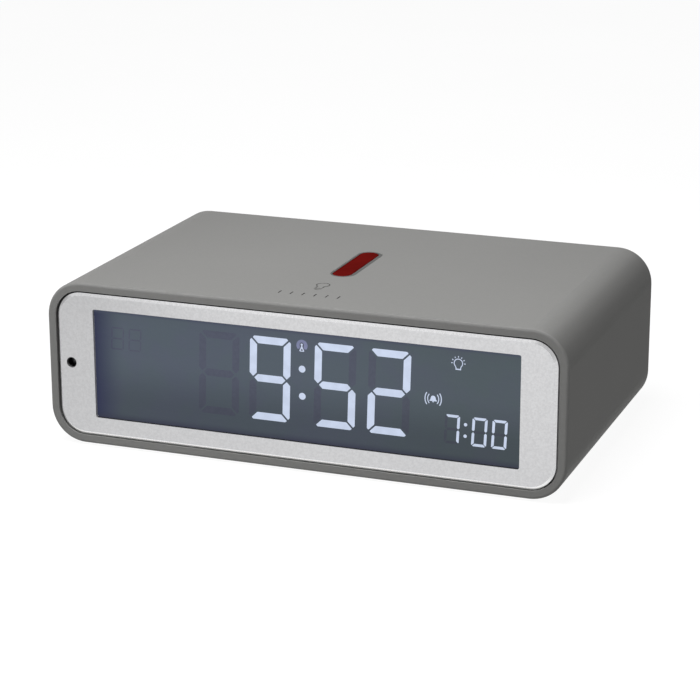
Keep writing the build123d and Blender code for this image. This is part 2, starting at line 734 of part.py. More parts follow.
@part
def button_board():
    """Board with its two right-hand corners notched."""
    through = (REAR_BOARD_Y0 - OVER, REAR_BOARD_Y1 + OVER)
    board = box((4.0, 64.5), (REAR_BOARD_Y0, REAR_BOARD_Y1), (Z_MID - 17.2, Z_MID + 16.2))
    board -= box((60.5, 66.0), through, (Z_MID + 11.0, Z_MID + 18.0))
    board -= box((60.5, 66.0), through, (Z_MID - 18.0, Z_MID - 11.5))
    for x, z in REAR_POSTS:
        board -= cyl_y(x, z, CLEARANCE_R, *through)
    return board


@part
def button_board_screws():
    return [Pos(x, REAR_BOARD_Y0, z) * Rot(-90, 0, 0) * small_screw(6.5)
            for x, z in REAR_POSTS]


@part
def alarm_slider():
    """Grooved knob, flange and switch tip, at the -X end of the travel."""
    knob_x = SLIDER_X - SLIDER_TRAVEL / 2
    flange_y = 40.3
    slider = box(around(knob_x, 1.9), (flange_y, COVER_Y1 + 0.5), around(SLIDER_Z, 1.55))
    for i in range(-1, 2):
        slider -= box(around(knob_x + i * 1.1, 0.2), (COVER_Y1 + 0.2, COVER_Y1 + OVER),
                      around(SLIDER_Z, 2))
    slider += box(around(knob_x, 6.2), (flange_y, COVER_Y0 - 0.2), around(SLIDER_Z, 3.2))
    slider += box(around(knob_x, 1.0), (36.6, flange_y + 0.1), around(SLIDER_Z, 0.95))
    return slider


@part
def alarm_switch():
    return (box(around(SLIDER_X, 6), (REAR_BOARD_Y1, 38.3), around(SLIDER_Z, 2.4))
            - box(around(SLIDER_X, 3.2), (36.3, 39), around(SLIDER_Z, 1.05)))


@part
def buzzer():
    """Round sounder facing the sound holes."""
    face = COVER_Y0 - 0.6
    body = cyl_y(BUZZER_X, BUZZER_Z, 9.0, REAR_BOARD_Y1, face)
    body = fillet(edges_in(body, y=around(face)), 0.6)
    return body - cyl_y(BUZZER_X, BUZZER_Z, 1.2, COVER_Y0 - 2.5, COVER_Y0)


@part
def power_socket():
    """Square body with a round barrel and a centre pin."""
    body = box(around(SOCKET_X, 4.5), (REAR_BOARD_Y1, COVER_Y0 - 0.1), around(SOCKET_Z, 4.2))
    body += cyl_y(SOCKET_X, SOCKET_Z, 3.2, COVER_Y0 - 0.2, COVER_Y1 - 0.2)
    body -= cyl_y(SOCKET_X, SOCKET_Z, 2.1, REAR_BOARD_Y1 + 1.0, COVER_Y1 + OVER)
    body += cyl_y(SOCKET_X, SOCKET_Z, 0.65, REAR_BOARD_Y1 + 0.5, COVER_Y1 - 1.2)
    return body


@part
def flat_cable():
    """Cable from the main board back to the button board, sagging between."""
    y0, y1 = BOARD_Y1 + 0.02, REAR_BOARD_Y0 - 0.02
    high = Z_MID + 3.0
    low = high - 9.0
    thickness = 0.7
    upper = [(y0, high), (y0 + 9.0, high), (y0 + 13.0, low),
             (y1 - 13.0, low), (y1 - 9.0, high), (y1, high)]
    lower = [(y, z - thickness) for y, z in reversed(upper)]
    with BuildSketch(Plane(origin=(4.5, 0, 0), x_dir=(0, 1, 0), z_dir=(1, 0, 0))) as profile:
        with BuildLine():
            Polyline(*upper, *lower, close=True)
        make_face()
    return extrude(profile.sketch, amount=14.0)


os.makedirs("parts", exist_ok=True)
for name, make in PARTS.items():
    shape = finish(make())
    shape.label = name
    export_step(shape, f"parts/{name}.step")
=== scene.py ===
"""A digital alarm clock standing on a white floor.

The frame is in metres: X runs to the right along the display, the display faces -Y,
the push buttons and battery door are on the +Y side, and the floor is at Z = 0.
Flat outlines on the display and on the back are (x, z) points in millimetres.
"""
import json
import math
from functools import reduce

import bmesh
import bpy
from mathutils import Matrix, Vector

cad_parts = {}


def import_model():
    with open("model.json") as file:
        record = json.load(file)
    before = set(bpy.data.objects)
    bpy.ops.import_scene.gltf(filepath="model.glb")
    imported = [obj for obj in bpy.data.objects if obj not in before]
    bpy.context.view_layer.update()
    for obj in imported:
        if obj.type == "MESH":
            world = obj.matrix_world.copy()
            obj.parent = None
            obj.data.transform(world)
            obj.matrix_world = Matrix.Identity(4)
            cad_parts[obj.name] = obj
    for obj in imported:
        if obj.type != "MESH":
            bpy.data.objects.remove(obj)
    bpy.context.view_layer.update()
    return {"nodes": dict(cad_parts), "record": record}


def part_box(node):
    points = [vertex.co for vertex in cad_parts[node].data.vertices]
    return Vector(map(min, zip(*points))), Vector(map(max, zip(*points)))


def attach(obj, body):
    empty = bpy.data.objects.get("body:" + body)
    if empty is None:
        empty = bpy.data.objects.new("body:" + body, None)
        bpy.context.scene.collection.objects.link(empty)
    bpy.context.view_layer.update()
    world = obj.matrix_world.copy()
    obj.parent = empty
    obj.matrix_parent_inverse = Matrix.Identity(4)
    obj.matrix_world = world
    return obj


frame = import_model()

MM = 0.001
scene = bpy.context.scene

# Places taken from the CAD pieces, in metres
HOUSING_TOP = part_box("housing")[1].z
SENSOR_LOW, SENSOR_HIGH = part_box("light_sensor")
SENSOR_X = (SENSOR_LOW.x + SENSOR_HIGH.x) / 2
SENSOR_Z = (SENSOR_LOW.z + SENSOR_HIGH.z) / 2
DISPLAY_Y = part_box("front_polariser")[0].y


# ---------------------------------------------------------------------------
# Node-tree builder, for materials and the world
# ---------------------------------------------------------------------------
SURFACE_INPUTS = {
    "color": "Base Color", "roughness": "Roughness", "metallic": "Metallic",
    "specular": "Specular IOR Level", "normal": "Normal",
    "glow": "Emission Color", "glow_strength": "Emission Strength",
}


def grey(level):
    return (level, level, level)


class Nodes:
    """Builds the node tree of a material or world; values may be numbers or sockets."""

    def __init__(self, owner, output_kind):
        self.owner = owner
        owner.use_nodes = True
        self.tree = owner.node_tree
        self.tree.nodes.clear()
        self.output = self.node(output_kind)
        self.coords = self.node("TexCoord").outputs

    def put(self, socket, value):
        if isinstance(value, bpy.types.NodeSocket):
            self.tree.links.new(value, socket)
        elif isinstance(value, tuple) and socket.type == "RGBA":
            socket.default_value = (*value, 1.0)
        else:
            socket.default_value = value

    def node(self, kind, inputs=None, **settings):
        node = self.tree.nodes.new("ShaderNode" + kind)
        # settings come first: they decide which sockets are in use
        for key, value in settings.items():
            setattr(node, key, value)
        for key, value in (inputs or {}).items():
            self.put(node.inputs[key], value)
        return node

    def out(self, kind, inputs=None, **settings):
        """First output of a new node."""
        return self.node(kind, inputs, **settings).outputs[0]

    def show(self, shader):
        """Send a shader to the output and give back the material or world."""
        self.put(self.output.inputs["Surface"], shader)
        return self.owner

    def split(self, coordinate):
        return self.out_xyz(self.coords[coordinate])

    def out_xyz(self, vector):
        return self.node("SeparateXYZ", {0: vector}).outputs

    def math(self, operation, *values):
        return self.out("Math", dict(enumerate(values)), operation=operation)

    def mul(self, *factors):
        return reduce(lambda left, right: self.math("MULTIPLY", left, right), factors)

    def weigh(self, first, second):
        """Sum of two (value, weight) pairs."""
        return self.math("ADD", self.mul(*first), self.mul(*second))

    def ramp(self, value, over, to=(0.0, 1.0), smooth=True):
        """Map the range `over` onto the range `to`, clamped at both ends."""
        return self.out("MapRange", {
            "Value": value, "From Min": over[0], "From Max": over[1],
            "To Min": to[0], "To Max": to[1],
        }, interpolation_type="SMOOTHSTEP" if smooth else "LINEAR")

    def mix_shader(self, factor, first, second):
        return self.out("MixShader", {0: factor, 1: first, 2: second})


class Mat(Nodes):
    """Material builder on object coordinates, which are the row frame in metres."""

    def __init__(self, name):
        super().__init__(bpy.data.materials.new(name), "OutputMaterial")

    def position(self):
        return self.split("Object")

    def facing(self):
        return self.split("Normal")

    def surface(self, **inputs):
        values = {SURFACE_INPUTS[key]: value for key, value in inputs.items()}
        return self.show(self.out("BsdfPrincipled", values))

    def noise(self, scale, detail=2.0, rough=0.5, stretch=None):
        vector = self.coords["Object"]
        if stretch is not None:
            vector = self.out("Mapping", {"Vector": vector, "Scale": stretch})
        return self.out("TexNoise", {"Vector": vector, "Scale": scale, "Detail": detail,
                                     "Roughness": rough})

    def spread(self, noise, to):
        """Stretch the busy middle of a noise over the range `to`."""
        return self.ramp(noise, over=(0.3, 0.7), to=to)

    def wave(self, scale, distortion):
        """Bands across X."""
        inputs = {"Vector": self.coords["Object"], "Scale": scale, "Distortion": distortion}
        return self.node("TexWave", inputs, bands_direction="X").outputs[1]

    def mix(self, factor, first, second, mode="MIX"):
        node = self.node("Mix", {0: factor, 6: first, 7: second},
                         data_type="RGBA", blend_type=mode)
        return node.outputs[2]

    def shade(self, color, factor):
        """Colour times a grey factor socket."""
        factor_color = self.out("CombineColor", {0: factor, 1: factor, 2: factor})
        return self.mix(1.0, color, factor_color, "MULTIPLY")

    def bump(self, height, strength, depth_mm):
        return self.out("Bump", {"Strength": strength, "Distance": depth_mm * MM,
                                 "Height": height})

    def edge(self, radius):
        """1 on convex and concave edges, 0 on flats."""
        bevel = self.out("Bevel", {"Radius": radius}, samples=4)
        normal = self.node("NewGeometry").outputs["Normal"]
        dot = self.node("VectorMath", {0: bevel, 1: normal}, operation="DOT_PRODUCT")
        turn = self.math("SUBTRACT", 1.0, dot.outputs["Value"])
        return self.ramp(turn, over=(0.002, 0.035))


# ---------------------------------------------------------------------------
# Materials of the CAD pieces
# ---------------------------------------------------------------------------
def plastic(name, base, rough=0.5, grain=9000.0, depth_mm=0.02, mottle=0.04, specular=0.5,
            worn=0.25, wear=0.25, painted_light_ramp=None):
    """Moulded plastic: faint mottling, fine grain, edges a little lighter and smoother.

    worn is how much lighter the edges are, wear how strongly that shows.
    The last argument, an x range and a colour, paints light: that colour takes over across the
    range.
    """
    mat = Mat(name)
    fine = mat.noise(scale=grain, rough=0.6)
    medium = mat.noise(scale=grain / 9.0, detail=3.0, rough=0.55)
    broad = mat.noise(scale=28.0)
    tone = mat.mul(mat.spread(broad, to=(1.0 - mottle, 1.0 + mottle)),
                   mat.spread(medium, to=(1.0 - mottle * 0.6, 1.0 + mottle * 0.6)))
    edge = mat.edge(radius=0.0004)
    lighter = tuple(min(1.0, channel * (1 + worn) + 0.01) for channel in base)
    color = mat.mix(mat.mul(edge, wear), mat.shade(base, tone), lighter)
    if painted_light_ramp:
        painted_light_range, painted_light_color = painted_light_ramp
        color = mat.mix(mat.ramp(mat.position()[0], over=painted_light_range), color, painted_light_color)
    roughness = mat.ramp(medium, over=(0.25, 0.75), to=(rough - 0.05, rough + 0.05))
    roughness = mat.math("SUBTRACT", roughness, mat.mul(edge, 0.06))
    height = mat.weigh((fine, 0.7), (medium, 0.5))
    return mat.surface(color=color, roughness=roughness, specular=specular,
                       normal=mat.bump(height, strength=0.35, depth_mm=depth_mm))


def housing_paint():
    """Soft-touch grey paint."""
    mat = Mat("soft_touch_paint")
    fine = mat.noise(scale=5200.0, rough=0.65)
    medium = mat.noise(scale=900.0, detail=3.0, rough=0.55)
    broad = mat.noise(scale=16.0)
    x = mat.position()[0]
    normal_x, normal_y, normal_z = mat.facing()
    # painted shade: the front rim is painted darker towards the right, and the upper right edge
    # darker, where shade falls
    rim_painted_shade = mat.mul(mat.ramp(normal_y, over=(-0.4, -0.8)),
                  mat.ramp(x, over=(-0.060, 0.075), to=(0.0, 0.17), smooth=False))
    turn = mat.mul(mat.ramp(normal_x, over=(0.40, 0.70)),
                   mat.ramp(normal_z, over=(0.25, 0.55)), 0.13)
    # the last two factors are painted shade: darker towards the left end, and the painted shade of
    # the rim and the corner
    tone = mat.mul(mat.spread(broad, to=(0.985, 1.015)),
                   mat.spread(medium, to=(0.985, 1.015)),
                   mat.spread(fine, to=(0.975, 1.025)),
                   mat.ramp(x, over=(-0.075, -0.030), to=(0.945, 1.0)),
                   mat.math("SUBTRACT", 1.0, mat.math("MAXIMUM", rim_painted_shade, turn)))
    color = mat.shade((0.268, 0.267, 0.2605), tone)
    edge = mat.edge(radius=0.00045)
    color = mat.mix(mat.mul(edge, 0.05), color, (0.36, 0.36, 0.352))
    # the debossed marks on top are painted darker than the skin round them, as painted shade in
    # the recesses:
    # two limits in depth, then the limits in X and Y
    x, y, z = mat.position()
    mark_recess_painted_shade = mat.mul(mat.ramp(z, over=(HOUSING_TOP - 0.00002, HOUSING_TOP - 0.00008)),
                   mat.ramp(z, over=(HOUSING_TOP - 0.0004, HOUSING_TOP - 0.0003)),
                   mat.ramp(mat.math("ABSOLUTE", x), over=(0.0140, 0.0135)),
                   mat.ramp(y, over=(-0.0175, -0.0180)),
                   mat.ramp(y, over=(-0.0400, -0.0395)))
    color = mat.mix(mat.mul(mark_recess_painted_shade, 0.88), color, (0.090, 0.090, 0.087))
    roughness = mat.ramp(medium, over=(0.25, 0.75), to=(0.58, 0.66))
    roughness = mat.math("SUBTRACT", roughness, mat.mul(edge, 0.08))
    height = mat.weigh((fine, 0.6), (medium, 0.5))
    return mat.surface(color=color, roughness=roughness, specular=0.03,
                       normal=mat.bump(height, strength=0.25, depth_mm=0.012))


def fascia_silver():
    """Satin silver plate with a polished bevel."""
    mat = Mat("satin_silver_plate")
    normal_x, normal_y, normal_z = mat.facing()
    # flat is 1 on the face; wall is 1 on the walls; both are 0 on the bevel
    flat = mat.ramp(mat.math("ABSOLUTE", normal_y), over=(0.935, 0.99))
    wall = mat.ramp(mat.math("ABSOLUTE", normal_y), over=(0.45, 0.25))
    grain = mat.weigh((mat.noise(scale=1500.0, rough=0.6), 0.6),
                      (mat.noise(scale=3800.0, rough=0.6), 0.4))
    broad = mat.noise(scale=22.0)
    x, _, z = mat.position()
    height_range = (0.006, 0.042)
    # painted light and shade at the left end: lighter low down, darker high up
    left_end_painted_light = mat.mul(mat.ramp(x, over=(-0.020, -0.060)),
                        mat.ramp(z, over=height_range, to=(0.10, -0.055), smooth=False))
    # besides the grain and broad mottling, tone holds painted shade darker towards the left,
    # painted light brighter towards the top, and the painted light of the left end
    tone = mat.mul(mat.ramp(grain, over=(0.32, 0.68), to=(0.93, 1.07)),
                   mat.spread(broad, to=(0.985, 1.015)),
                   mat.ramp(x, over=(-0.078, -0.008), to=(0.86, 1.01)),
                   mat.ramp(z, over=height_range, to=(0.98, 1.05), smooth=False),
                   mat.math("ADD", 1.0, left_end_painted_light))
    face = mat.shade((0.705, 0.705, 0.715), tone)
    # painted highlight: the lower run of the bevel is painted bright, as the floor's reflection;
    # the rest stays close to the face
    bevel_painted_highlight = mat.ramp(normal_z, over=(-0.12, -0.30))
    bevel = mat.mix(bevel_painted_highlight, mat.shade((0.70, 0.70, 0.71), tone), grey(0.98))
    color = mat.mix(flat, bevel, face)
    # the walls are dark; walls facing +X are painted lighter, as light falling on them in the gap
    # on the right
    wall_color_painted_light = mat.mix(mat.ramp(normal_x, over=(0.4, 0.7)),
                         (0.02, 0.02, 0.022), (0.42, 0.42, 0.43))
    color = mat.mix(wall, color, wall_color_painted_light)
    roughness = mat.math("ADD", mat.mul(flat, mat.spread(grain, to=(0.18, 0.28))), 0.20)
    # painted shade: the edge of the sensor hole is painted dark, and made dull
    off_x = mat.math("SUBTRACT", x, SENSOR_X)
    off_z = mat.math("SUBTRACT", z, SENSOR_Z)
    distance = mat.math("SQRT", mat.weigh((off_x, off_x), (off_z, off_z)))
    hole_painted_shade = mat.mul(mat.ramp(distance, over=(0.0021, 0.0019)), mat.math("SUBTRACT", 1.0, flat))
    color = mat.mix(hole_painted_shade, color, (0.10, 0.10, 0.105))
    roughness = mat.math("MAXIMUM", roughness, mat.mul(hole_painted_shade, 0.55))
    return mat.surface(color=color, metallic=mat.math("SUBTRACT", 1.0, wall),
                       roughness=roughness,
                       normal=mat.bump(mat.mul(grain, flat), strength=0.30, depth_mm=0.010))


DISPLAY_BASE = (0.012, 0.014, 0.020)
DISPLAY_GLOW = 1.13


def display_gradient(mat):
    """Colour of the unlit display, as light that leaves it."""
    x, _, z = mat.position()
    body = mat.mix(mat.ramp(x, over=(0.0, 0.055)),
                   (0.072, 0.0895, 0.1075), (0.0655, 0.083, 0.0915))
    body = mat.shade(body, mat.ramp(z, over=(0.0130, 0.0275), to=(0.68, 1.0)))
    # the left, bottom and top borders
    body = mat.mix(mat.ramp(x, over=(-0.0632, -0.0522)), (0.0215, 0.0245, 0.058), body)
    body = mat.mix(mat.ramp(z, over=(0.0078, 0.0106)), (0.030, 0.032, 0.052), body)
    return mat.mix(mat.ramp(z, over=(0.0399, 0.0386)), (0.052, 0.060, 0.088), body)


def display_face():
    mat = Mat("display_face")
    body = display_gradient(mat)
    cloud = mat.noise(scale=85.0, detail=3.0, rough=0.55)
    violet = mat.mix(1.0, body, (1.03, 0.93, 1.08), "MULTIPLY")
    glow = mat.mix(mat.ramp(cloud, over=(0.42, 0.62), to=(0.0, 0.5)), body, violet)
    return mat.surface(color=DISPLAY_BASE, roughness=mat.spread(cloud, to=(0.50, 0.60)),
                       specular=0.0, glow=glow, glow_strength=DISPLAY_GLOW)


def display_segment(name, glow, vary=0.04):
    """Lit part of the display, slightly brighter towards the top."""
    mat = Mat(name)
    patches = mat.noise(scale=420.0)
    fine = mat.noise(scale=5000.0, detail=1.0)
    z = mat.position()[2]
    tone = mat.mul(mat.spread(patches, to=(1 - vary, 1 + vary)),
                   mat.spread(fine, to=(0.985, 1.015)),
                   mat.ramp(z, over=(0.0125, 0.0375), to=(0.955, 1.02), smooth=False))
    return mat.surface(color=(0.02, 0.022, 0.03), roughness=0.5, specular=0.0,
                       glow=mat.shade(glow, tone), glow_strength=1.0)


def display_unlit():
    """Unlit segments: a shade more violet than the display round them."""
    mat = Mat("display_unlit")
    body = mat.mix(1.0, display_gradient(mat), (0.94, 0.825, 0.955), "MULTIPLY")
    glow = mat.shade(body, mat.spread(mat.noise(scale=900.0), to=(0.96, 1.04)))
    return mat.surface(color=DISPLAY_BASE, roughness=0.5, specular=0.0,
                       glow=glow, glow_strength=DISPLAY_GLOW)


def clear_window():
    """Thin clear acrylic: see-through, with a weak reflection and a faint uneven glow painted in
    as the reflected white floor.
    """
    mat = Mat("clear_window")
    clear = mat.out("BsdfTransparent", {0: (0.985, 0.99, 0.995)})
    fine = mat.noise(scale=260.0, detail=4.0, rough=0.6, stretch=(1.0, 1.0, 6.0))
    gloss = mat.out("BsdfGlossy", {"Roughness": mat.spread(fine, to=(0.05, 0.12))})
    fresnel = mat.out("Fresnel", {"IOR": 1.33})
    backfacing = mat.node("NewGeometry").outputs["Backfacing"]
    front = mat.math("SUBTRACT", 1.0, backfacing)
    # 0.028 is taken off the reflection and 0.8 of the rest kept
    reflection = mat.math("MAXIMUM", mat.math("SUBTRACT", fresnel, 0.028), 0.0)
    reflection = mat.mul(reflection, 0.8, front)
    # painted reflection: a faint uneven glow on the front face stands in for the white floor
    # mirrored in the window
    painted_floor_reflection = mat.out("Emission", {"Strength": mat.mul(mat.spread(fine, to=(0.0066, 0.0082)), front)})
    glass = mat.mix_shader(reflection, clear, gloss)
    return mat.show(mat.out("AddShader", {0: glass, 1: painted_floor_reflection}))


def red_key():
    mat = Mat("red_key")
    broad = mat.noise(scale=240.0, detail=3.0, rough=0.6)
    fine = mat.noise(scale=5000.0, rough=0.6)
    tone = mat.mul(mat.spread(broad, to=(0.90, 1.08)), mat.spread(fine, to=(0.96, 1.04)))
    edge = mat.edge(radius=0.0003)
    color = mat.mix(mat.mul(edge, 0.35), mat.shade((0.124, 0.0064, 0.0054), tone),
                    (0.20, 0.008, 0.008))
    return mat.surface(color=color, roughness=mat.spread(fine, to=(0.36, 0.46)), specular=0.0,
                       normal=mat.bump(fine, strength=0.2, depth_mm=0.008))


def metal(name, base, rough):
    """Metal with streaks drawn by a stretched noise, and brighter edges."""
    mat = Mat(name)
    grain = mat.noise(scale=2600.0, detail=3.0, rough=0.6)
    streaks = mat.noise(scale=2600.0 / 3.0, stretch=(1.0, 1.0, 9.0))
    tone = mat.ramp(mat.weigh((grain, 0.5), (streaks, 0.5)), over=(0.35, 0.65), to=(0.9, 1.08))
    edge = mat.edge(radius=0.0003)
    brighter = tuple(min(1.0, channel * 1.35 + 0.05) for channel in base)
    color = mat.mix(mat.mul(edge, 0.4), mat.shade(base, tone), brighter)
    return mat.surface(color=color, metallic=1.0,
                       roughness=mat.spread(streaks, to=(rough - 0.07, rough + 0.09)),
                       normal=mat.bump(streaks, strength=0.1, depth_mm=0.01))


def circuit_board():
    """Green solder mask; tracks show through as a lighter green."""
    mat = Mat("circuit_board")
    x, y, z = mat.position()
    # the pattern lies in XZ on an upright board and in XY on a level one
    flat_vector = mat.out("CombineXYZ", {0: x, 1: mat.math("ADD", z, y)})
    brick = mat.node("TexBrick", {"Vector": flat_vector, "Scale": 140.0, "Mortar Size": 0.03,
                                  "Brick Width": 1.7, "Row Height": 0.33})
    fine = mat.noise(scale=2500.0)
    tracks = mat.mul(brick.outputs["Fac"], 1.0)  # full strength
    color = mat.mix(tracks, (0.012, 0.095, 0.040), (0.045, 0.20, 0.09))
    return mat.surface(color=mat.shade(color, mat.spread(fine, to=(0.92, 1.08))),
                       roughness=mat.spread(fine, to=(0.28, 0.40)),
                       normal=mat.bump(tracks, strength=0.3, depth_mm=0.03))


def banded(name, bands, colors, noise_scale, tone, roughness, strength, depth_mm, **extra):
    """Bands across X in two colours; bands is (scale, distortion)."""
    mat = Mat(name)
    wave = mat.wave(*bands)
    noise = mat.noise(scale=noise_scale)
    color = mat.shade(mat.mix(wave, *colors), mat.spread(noise, to=tone))
    return mat.surface(color=color, roughness=mat.spread(noise, to=roughness),
                       normal=mat.bump(wave, strength=strength, depth_mm=depth_mm), **extra)


def cell_jacket():
    """AA cell: dark jacket, a copper-coloured band at the positive end, bare steel ends."""
    mat = Mat("cell_jacket")
    normal_x = mat.facing()[0]
    x, _, z = mat.position()
    end = mat.ramp(mat.math("ABSOLUTE", normal_x), over=(0.55, 0.8))
    # the upper cell has its band at the -X end, the lower cell at the +X end
    upper = mat.ramp(z, over=(0.0235, 0.0245))
    copper = mat.weigh(
        (upper, mat.ramp(x, over=(-0.0445, -0.0443), to=(1.0, 0.0))),
        (mat.math("SUBTRACT", 1.0, upper), mat.ramp(x, over=(-0.0212, -0.0210))))
    noise = mat.noise(scale=600.0, detail=3.0, rough=0.55)
    color = mat.mix(copper, (0.035, 0.038, 0.045), (0.52, 0.27, 0.10))
    color = mat.mix(end, color, (0.62, 0.62, 0.61))
    return mat.surface(color=mat.shade(color, mat.spread(noise, to=(0.93, 1.07))),
                       metallic=mat.math("MAXIMUM", end, mat.mul(copper, 0.85)),
                       roughness=mat.spread(noise, to=(0.24, 0.34)),
                       normal=mat.bump(noise, strength=0.1, depth_mm=0.02))


SLOT_MATERIALS = {
    "soft_touch_grey": housing_paint(),
    "satin_silver": fascia_silver(),
    "cover_grey": plastic("cover_moulding", (0.085, 0.085, 0.084), rough=0.58, grain=4200.0,
                          depth_mm=0.03, mottle=0.05, specular=0.35, worn=0.35, wear=0.35),
    # the rim of the front frame is painted lighter where it shows in the gap on the right, as
    # painted light falling into the gap
    "black_plastic": plastic("black_moulding", (0.016, 0.016, 0.017), grain=7000.0,
                             mottle=0.08, specular=0.35, worn=0.6, wear=0.3,
                             painted_light_ramp=((0.0711, 0.0717), (0.25, 0.25, 0.251))),
    "window_clear": clear_window(),
    "display_dark": display_face(),
    "display_glass": plastic("display_glass_dark", (0.05, 0.06, 0.075), rough=0.12, grain=900.0,
                             depth_mm=0.002, mottle=0.05, worn=0.2, wear=0.1),
    "shroud_grey": plastic("shroud_moulding", (0.122, 0.122, 0.119), rough=0.6, grain=6000.0,
                           mottle=0.05, specular=0.1, worn=0.2, wear=0.1),
    "white_film": plastic("white_film", grey(0.80), grain=3000.0, depth_mm=0.01, mottle=0.02),
    "guide_acrylic": plastic("guide_acrylic", (0.72, 0.78, 0.82), rough=0.12, grain=1200.0,
                             depth_mm=0.003, mottle=0.02),
    "white_plastic": plastic("white_moulding", (0.66, 0.66, 0.64), rough=0.45, grain=6000.0,
                             mottle=0.03),
    "board_green": circuit_board(),
    "led_white": plastic("led_white", (0.75, 0.72, 0.52), rough=0.25, grain=2500.0,
                         depth_mm=0.004),
    "silicone_dark": plastic("silicone_dark", (0.055, 0.055, 0.06), rough=0.62, grain=2500.0,
                             mottle=0.08),
    "plain_metal": metal("plated_metal", (0.60, 0.60, 0.59), rough=0.3),
    "sleeve_blue": plastic("shrunk_sleeve", (0.015, 0.035, 0.17), rough=0.28, grain=1500.0,
                           depth_mm=0.01, mottle=0.06),
    "sensor_black": plastic("sensor_epoxy", (0.045, 0.045, 0.050), rough=0.12, grain=2500.0,
                            depth_mm=0.002, mottle=0.1),
    "ferrite_dark": plastic("sintered_ferrite", (0.040, 0.040, 0.043), rough=0.55, grain=3200.0,
                            depth_mm=0.05, mottle=0.12),
    "coil_copper": banded("coil_winding", bands=(700.0, 0.4),
                          colors=((0.20, 0.055, 0.018), (0.62, 0.24, 0.085)),
                          noise_scale=900.0, tone=(0.88, 1.1), roughness=(0.28, 0.42),
                          strength=0.6, depth_mm=0.08, metallic=0.7),
    "red_translucent": red_key(),
    "plunger_white": plastic("plunger_white", (0.72, 0.72, 0.70), rough=0.4, grain=6000.0,
                             depth_mm=0.01, mottle=0.02),
    "led_red": plastic("led_red", (0.42, 0.015, 0.012), rough=0.2, grain=2500.0,
                       depth_mm=0.004, mottle=0.05),
    "rubber_dark": plastic("foot_rubber", grey(0.022), rough=0.78, grain=3500.0, depth_mm=0.05,
                           mottle=0.1, specular=0.25, worn=0.5, wear=0.4),
    "screw_black": metal("black_zinc", (0.075, 0.075, 0.08), rough=0.34),
    "button_black": plastic("button_moulding", (0.034, 0.034, 0.036), rough=0.44, grain=5200.0,
                            depth_mm=0.025, mottle=0.06, specular=0.4, worn=0.5, wear=0.35),
    "cable_grey": banded("ribbon_cable", bands=(260.0, 0.0),
                         colors=((0.26, 0.26, 0.28), (0.46, 0.46, 0.48)),
                         noise_scale=700.0, tone=(0.94, 1.06), roughness=(0.35, 0.5),
                         strength=0.5, depth_mm=0.15),
    "cell_jacket": cell_jacket(),
}

for part in frame["record"]["subparts"]:
    part_object = frame["nodes"][part["node"]]
    slot = part["material_slot"]
    part_object.data.materials.clear()
    part_object.data.materials.append(SLOT_MATERIALS[slot])

LIT = display_segment("display_lit", (0.60, 0.67, 0.83))
LIT_FINE = display_segment("display_lit_fine", (0.56, 0.62, 0.78))
VIOLET_DISC = display_segment("display_violet_disc", (0.200, 0.215, 0.345), vary=0.08)
UNLIT = display_unlit()


# ---------------------------------------------------------------------------
# Flat outlines: lists of (x, z) points in millimetres, angles in degrees
# ---------------------------------------------------------------------------
def counter_clockwise(outline):
    following = outline[1:] + outline[:1]
    doubled_area = sum(x0 * z1 - x1 * z0 for (x0, z0), (x1, z1) in zip(outline, following))
    return outline[::-1] if doubled_area < 0 else outline


def inset(outline, distance):
    """Offset a convex outline inwards."""
    outline = counter_clockwise(outline)
    edges = []
    for start, end in zip(outline, outline[1:] + outline[:1]):
        along = (Vector(end) - Vector(start)).normalized()
        inward = Vector((-along.y, along.x))
        edges.append((Vector(start) + inward * distance, along))
    corners = []
    for (point, along), (next_point, next_along) in zip(edges[-1:] + edges[:-1], edges):
        reach = (next_point - point).cross(next_along) / along.cross(next_along)
        corners.append(point + along * reach)
    return corners


def soften(outline, radius):
    """Round each corner with a short curve of four points."""
    points = []
    for i, position in enumerate(outline):
        corner = Vector(position)
        to_last = Vector(outline[i - 1]) - corner
        to_next = Vector(outline[(i + 1) % len(outline)]) - corner
        start = corner + to_last.normalized() * min(radius, to_last.length * 0.4)
        end = corner + to_next.normalized() * min(radius, to_next.length * 0.4)
        for t in (0.0, 0.33, 0.67, 1.0):
            point = start * (1 - t) ** 2 + corner * 2 * t * (1 - t) + end * t * t
            points.append((point.x, point.y))
    return points


def moved(outline, x, z, scale=1.0):
    return [(x + point_x * scale, z + point_z * scale) for point_x, point_z in outline]


def arc(x, z, radius, start, end, steps):
    angles = [math.radians(start + (end - start) * i / steps) for i in range(steps + 1)]
    return [(x + radius * math.cos(angle), z + radius * math.sin(angle)) for angle in angles]


def circle(x, z, radius, steps):
    return arc(x, z, radius, 0.0, 360.0, steps)[:-1]


def arc_band(x, z, radius, width, start, end, steps=14):
    """Thick arc as one closed outline."""
    outer = arc(x, z, radius + width / 2, start, end, steps)
    inner = arc(x, z, radius - width / 2, start, end, steps)
    return outer + inner[::-1]


def bar(x0, z0, x1, z1, width):
    half = Vector((x1 - x0, z1 - z0)).normalized() * width / 2
    side = Vector((-half.y, half.x))
    return [(x0 + side.x, z0 + side.y), (x0 - side.x, z0 - side.y),
            (x1 - side.x, z1 - side.y), (x1 + side.x, z1 + side.y)]


